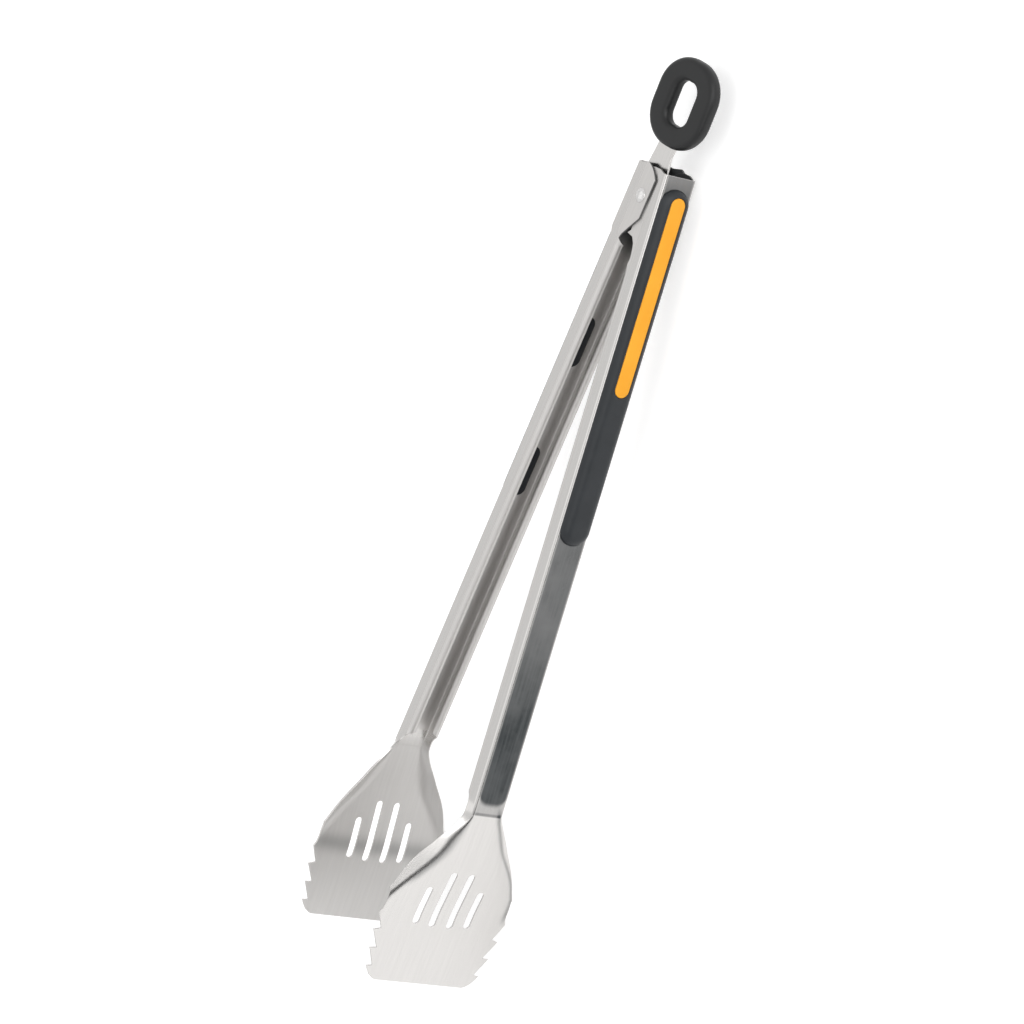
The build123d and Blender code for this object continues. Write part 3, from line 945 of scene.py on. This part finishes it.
def bar_section(reach):
    """Points round the ring's bar, as (across, up), with a slight crown on top and underneath."""
    section = []
    for quarter, (side, level) in enumerate(((1, 1), (-1, 1), (-1, -1), (1, -1))):
        for i in range(9):
            t = math.pi / 2 * (quarter + i / 8)
            across = side * (reach - RING_ROUND) + RING_ROUND * math.cos(t)
            section.append((across, level * (RING_HALF - RING_ROUND) + RING_ROUND * math.sin(t)))
        if quarter in (0, 2):
            section.append((0.0, level * (RING_HALF + RING_CROWN)))
    return section


def ring_piece():
    """The moulded loop: a rounded bar bent round its hole."""
    rings = []
    for outer, hole in zip(rounded_box(*RING_SIZE, 16, 6), rounded_box(*RING_HOLE, 16, 6)):
        middle, half = (outer + hole) / 2, (outer - hole) / 2
        middle = middle + (RING_CENTRE, 0)
        width = np.linalg.norm(half)
        rings.append([(*(middle + half / width * across), up) for across, up in bar_section(width)])
    turned, shift = lock_place()
    obj = lofted("pull_ring_loop", rings, (turned, False), closed=True)
    obj.data.transform(Matrix.Translation(Vector(shift * MM)))
    consistent(obj)
    return obj


# ---------------------------------------------------------------- materials

class Graph:
    """A node material, with short calls for the nodes used here."""

    def __init__(self, name):
        self.material = bpy.data.materials.new(name)
        self.material.use_nodes = True
        self.tree = self.material.node_tree
        self.shader = self.tree.nodes["Principled BSDF"]

    def node(self, kind, **inputs):
        """A node whose sockets or properties have the names given, with _ for a space."""
        made = self.tree.nodes.new(kind)
        for key, value in inputs.items():
            name = key.replace("_", " ")
            if name in made.inputs:
                self.put(made.inputs[name], value)
            else:
                setattr(made, key, value)
        return made

    def put(self, socket, value):
        if isinstance(value, bpy.types.NodeSocket):
            self.tree.links.new(value, socket)
        else:
            socket.default_value = value

    def coords(self, source, scale):
        if source == "Object":
            start = self.node("ShaderNodeTexCoord").outputs["Object"]
        else:
            start = self.node("ShaderNodeUVMap", uv_map=source).outputs["UV"]
        return self.node("ShaderNodeMapping", Vector=start, Scale=scale).outputs["Vector"]

    def noise(self, vector, scale, detail=3.0, roughness=0.5):
        made = self.node("ShaderNodeTexNoise", Vector=vector, Scale=scale, Detail=detail, Roughness=roughness)
        return made.outputs["Fac"]

    def remap(self, value, low_in, high_in, low_out, high_out):
        limits = dict(From_Min=low_in, From_Max=high_in, To_Min=low_out, To_Max=high_out)
        return self.node("ShaderNodeMapRange", Value=value, **limits).outputs["Result"]

    def math(self, operation, a, b):
        made = self.tree.nodes.new("ShaderNodeMath")
        made.operation = operation
        self.put(made.inputs[0], a)
        self.put(made.inputs[1], b)
        return made.outputs[0]

    def blend(self, factor, a, b):
        made = self.tree.nodes.new("ShaderNodeMix")
        made.data_type = "RGBA"
        self.put(made.inputs[0], factor)
        self.put(made.inputs[6], a)
        self.put(made.inputs[7], b)
        return made.outputs[2]

    def bump(self, height, strength, distance):
        made = self.node("ShaderNodeBump", Height=height, Strength=strength, Distance=distance)
        return made.outputs["Normal"]


def rgb(r, g, b):
    return (r, g, b, 1.0)


def steel_material():
    """Satin stainless sheet: grain along the arm and faint smudges, with the tone attribute painting dark
    reflections and shade onto the web, folds and ears.
    """
    g = Graph("satin_steel")
    fine = g.noise(g.coords("grain", (14, 420, 1)), 5.0, 2.0)
    broad = g.noise(g.coords("grain", (6, 150, 1)), 5.0, 3.0)
    smudge = g.noise(g.coords("Object", (1, 1, 1)), 38.0, 4.0, 0.6)
    tone = g.node("ShaderNodeAttribute", attribute_name="tone").outputs["Fac"]
    dull = g.node("ShaderNodeAttribute", attribute_name="dull").outputs["Fac"]
    light = g.blend(g.remap(broad, 0.3, 0.7, 0.0, 1.0), rgb(0.64, 0.625, 0.61), rgb(0.67, 0.655, 0.64))
    smudged = g.remap(smudge, 0.35, 0.65, 0.0, 1.0)
    # the dark colour, which the tone attribute paints in as painted reflection and painted shade
    dark = g.blend(smudged, rgb(0.045, 0.05, 0.052), rgb(0.11, 0.113, 0.115))
    dark = g.blend(g.remap(broad, 0.35, 0.65, 0.0, 0.6), dark, rgb(0.10, 0.105, 0.108))
    g.put(g.shader.inputs["Base Color"], g.blend(tone, light, dark))
    g.shader.inputs["Metallic"].default_value = 1.0
    rough = g.remap(fine, 0.3, 0.7, 0.20, 0.24)
    rough = g.math("ADD", rough, g.remap(smudge, 0.35, 0.7, -0.01, 0.03))
    rough = g.math("ADD", rough, g.math("MULTIPLY", tone, 0.08))
    rough = g.math("ADD", rough, g.math("MULTIPLY", dull, 0.30))
    g.put(g.shader.inputs["Roughness"], rough)
    g.put(g.shader.inputs["Normal"], g.bump(fine, 0.02, 0.0002))
    return g.material


def plain_metal(name, colour, roughness, scale):
    """Bare metal with a fine mottle."""
    g = Graph(name)
    noise = g.noise(g.coords("Object", (1, 1, 1)), scale, 4.0, 0.6)
    darker = tuple(c * 0.8 for c in colour[:3]) + (1.0,)
    g.put(g.shader.inputs["Base Color"], g.blend(g.remap(noise, 0.35, 0.7, 0.0, 1.0), colour, darker))
    g.shader.inputs["Metallic"].default_value = 1.0
    g.put(g.shader.inputs["Roughness"], g.remap(noise, 0.3, 0.7, roughness - 0.05, roughness + 0.07))
    g.put(g.shader.inputs["Normal"], g.bump(noise, 0.05, 0.0001))
    return g.material


def moulded(name, colour, worn, roughness, grain=0.25, specular=0.5):
    """Moulded rubber or plastic: fine sparkled skin, slight colour drift."""
    g = Graph(name)
    place = g.coords("Object", (1, 1, 1))
    skin = g.noise(place, 2600.0, 3.0, 0.55)
    drift = g.noise(place, 60.0, 4.0, 0.6)
    g.put(g.shader.inputs["Base Color"], g.blend(g.remap(drift, 0.35, 0.7, 0.0, 1.0), colour, worn))
    g.put(g.shader.inputs["Roughness"], g.remap(drift, 0.3, 0.7, roughness - 0.05, roughness + 0.06))
    g.shader.inputs["Specular IOR Level"].default_value = specular
    g.put(g.shader.inputs["Normal"], g.bump(skin, grain, 0.0001))
    return g.material


steel = steel_material()
bright = plain_metal("rivet_steel", rgb(0.80, 0.79, 0.78), 0.2, 600.0)
wire = plain_metal("spring_wire", rgb(0.45, 0.45, 0.45), 0.3, 900.0)
rubber = moulded("loop_rubber", rgb(0.007, 0.0075, 0.008), rgb(0.011, 0.0115, 0.012), 0.42, specular=0.42)
pad = moulded("grip_rubber", rgb(0.016, 0.019, 0.022), rgb(0.023, 0.026, 0.030), 0.42, specular=0.38)
orange = moulded("inlay_orange", rgb(0.97, 0.43, 0.028), rgb(0.92, 0.39, 0.022), 0.5, 0.15, 0.35)


def dress(obj, material, body, slot, *nodes):
    """Gives a piece its material and its body, and hides the CAD nodes it stands for."""
    obj.data.materials.clear()
    obj.data.materials.append(material)
    if body:
        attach(obj, body)
    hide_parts(*nodes)


for side in ("rear", "front"):
    dress(arm_piece(side), steel, side, "steel", f"{side}_arm")
    dress(pad_piece(side), pad, side, "grip_rubber", f"{side}_grip")
    dress(inlay_piece(side), orange, side, "orange_inlay", f"{side}_grip_inlay")
dress(rivet_piece(), bright, "rear", "rivet_steel", "pivot_rivet")
dress(strip_piece(), steel, "lock", "steel", "lock_strip")
dress(ring_piece(), rubber, "lock", "black_rubber", "pull_ring")
spring = tube("torsion_spring_wire", spring_path(), SPRING_WIRE / 2, placement(0.0))
dress(spring, wire, None, "spring_steel", "torsion_spring")
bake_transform(spring)


# ---------------------------------------------------------------- stage, light and camera

FLOOR_HALF = 4.0
FLOOR_GLOW = 0.40                   # lifts the floor to white where it is looked at
FLOOR_SLOPE = math.radians(3.85)    # the tongs rest on both heads and on the pivot's end

floor_mesh = bpy.data.meshes.new("floor")
corners = ((-1, -1), (1, -1), (1, 1), (-1, 1))
floor_mesh.from_pydata([(x * FLOOR_HALF, y * FLOOR_HALF, 0) for x, y in corners], [], [(0, 1, 2, 3)])
floor = bpy.data.objects.new("floor", floor_mesh)
bpy.context.scene.collection.objects.link(floor)
floor.location = (-0.2, 0.0, -0.0006)
floor.rotation_euler = (0.0, -FLOOR_SLOPE, 0.0)
g = Graph("floor_white")
g.shader.inputs["Roughness"].default_value = 0.9
g.shader.inputs["Specular IOR Level"].default_value = 0.1
paper = g.noise(g.coords("Object", (1, 1, 1)), 900.0, 2.0)
g.put(g.shader.inputs["Base Color"], g.blend(paper, rgb(0.82, 0.82, 0.82), rgb(0.84, 0.84, 0.84)))
rays = g.node("ShaderNodeLightPath")
seen = g.math("MAXIMUM", rays.outputs["Is Camera Ray"], rays.outputs["Is Glossy Ray"])
seen = g.math("MAXIMUM", seen, rays.outputs["Is Transmission Ray"])
g.shader.inputs["Emission Color"].default_value = rgb(1, 1, 1)
g.put(g.shader.inputs["Emission Strength"], g.math("MULTIPLY", seen, FLOOR_GLOW))
floor.data.materials.append(g.material)

DARK_SIDE = (-0.03, -0.998, 0.06)   # the unlit side of the room
DARK_EDGE = (0.82, 0.93)            # cosines from that direction, between which the room fades
ROOM_LIGHT = (0.85, 0.03)           # outside and inside the unlit side

world = bpy.data.worlds.new("studio")
bpy.context.scene.world = world
world.use_nodes = True
sky = world.node_tree
direction = sky.nodes.new("ShaderNodeTexCoord").outputs["Generated"]
facing = sky.nodes.new("ShaderNodeVectorMath")
facing.operation = "DOT_PRODUCT"
facing.inputs[1].default_value = DARK_SIDE
fade = sky.nodes.new("ShaderNodeMapRange")
fade.interpolation_type = "SMOOTHSTEP"
for name, value in zip(("From Min", "From Max", "To Min", "To Max"), DARK_EDGE + ROOM_LIGHT):
    fade.inputs[name].default_value = value
sky.links.new(direction, facing.inputs[0])
sky.links.new(facing.outputs["Value"], fade.inputs["Value"])
sky.links.new(fade.outputs["Result"], sky.nodes["Background"].inputs["Strength"])
sky.nodes["Background"].inputs["Color"].default_value = rgb(1, 1, 1)


def softbox(name, location, target, size, watts, roll=0.0):
    """A rectangular light aimed at a target and rolled about its own axis."""
    data = bpy.data.lights.new(name, "AREA")
    data.shape = "RECTANGLE"
    data.size, data.size_y = size
    data.energy = watts
    lamp = bpy.data.objects.new(name, data)
    lamp.location = location
    aim = (Vector(target) - Vector(location)).to_track_quat("-Z", "Y").to_matrix()
    lamp.rotation_euler = (aim @ Matrix.Rotation(roll, 3, "Z")).to_euler()
    bpy.context.scene.collection.objects.link(lamp)


softbox("key", (0.12, -1.01, 0.80), (-0.19, -0.02, 0.04), (1.3, 0.38), 2.0, math.radians(32))
softbox("fill", (0.65, -1.04, 0.46), (0, 0, 0.03), (1.0, 0.8), 5.0)
softbox("overhead", (0.0, 0.35, 1.4), (0, 0, 0), (1.6, 1.2), 2.0)

# The camera is placed about the pivot in a frame of the tongs' opening, pivot axis and length,
# by angles in radians and distances in millimetres.
CAMERA_TURN = 0.953
CAMERA_RISE = 0.246
CAMERA_ROLL = 0.346
CAMERA_DISTANCE = 1969.4
CAMERA_AIM = (-66.62, -143.52)      # how far the camera is moved along its own right and up
LENS = 151.0

view = np.array([
    math.sin(CAMERA_TURN) * math.cos(CAMERA_RISE),
    -math.cos(CAMERA_TURN) * math.cos(CAMERA_RISE),
    math.sin(CAMERA_RISE),
])
right = np.cross((0, 0, 1), view)
right /= np.linalg.norm(right)
up = np.cross(view, right)
roll_right = math.cos(CAMERA_ROLL) * right + math.sin(CAMERA_ROLL) * up
roll_up = -math.sin(CAMERA_ROLL) * right + math.cos(CAMERA_ROLL) * up
spot = CAMERA_AIM[0] * roll_right + CAMERA_AIM[1] * roll_up + CAMERA_DISTANCE * view


def to_row(v):
    """From the camera's frame (opening, pivot axis, length) to the row's axes."""
    return np.array([v[2], -v[0], -v[1]])


camera_data = bpy.data.cameras.new("camera")
camera_data.lens = LENS
camera_data.sensor_width = 36.0
camera = bpy.data.objects.new("camera", camera_data)
bpy.context.scene.collection.objects.link(camera)
axes = Matrix([to_row(roll_right), to_row(roll_up), to_row(view)]).transposed().to_4x4()
camera.matrix_world = Matrix.Translation(Vector((to_row(spot) + PIVOT) * MM)) @ axes
bpy.context.scene.camera = camera
bpy.context.scene.view_settings.view_transform = "Standard"
